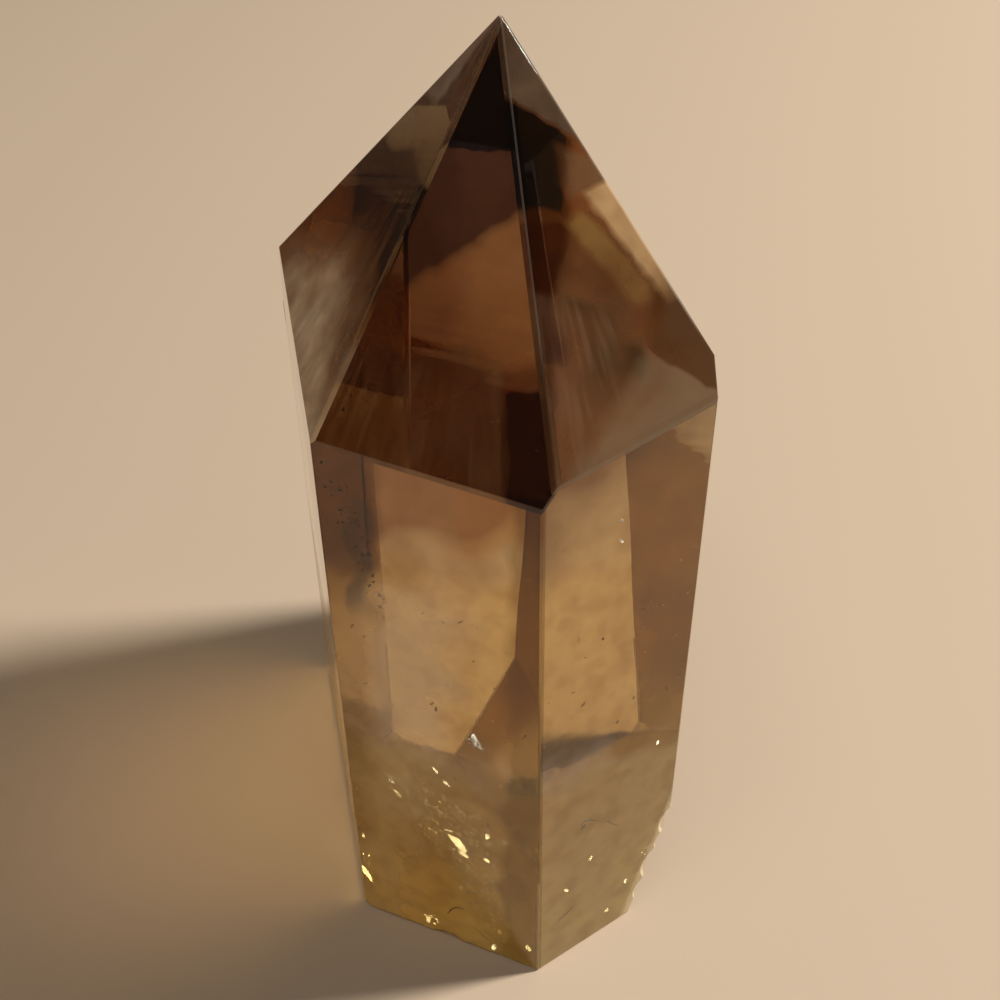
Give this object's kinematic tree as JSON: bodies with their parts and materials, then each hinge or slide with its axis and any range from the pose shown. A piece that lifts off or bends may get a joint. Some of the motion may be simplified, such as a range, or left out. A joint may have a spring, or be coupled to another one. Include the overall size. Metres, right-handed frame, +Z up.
{
  "type": "crystal point",
  "caption": "Smoky citrine quartz point: a six-sided prism on a flat foot, closed by a six-faced pyramid with a blunt tip. Stands upright unheld for display.",
  "frame": {"origin": "middle of the foot's outline, on the flat face the crystal stands on", "axes": "+Z up the crystal to its tip, -Y towards the two narrow front faces, +X to the right broad side"},
  "size_m": [0.0368, 0.0538, 0.0847],
  "materials": {
    "citrine": "polished faces, clear smoky honey brown"
  },
  "bodies": {
    "root": {"crystal_point": "citrine"}
  },
  "joints": []
}
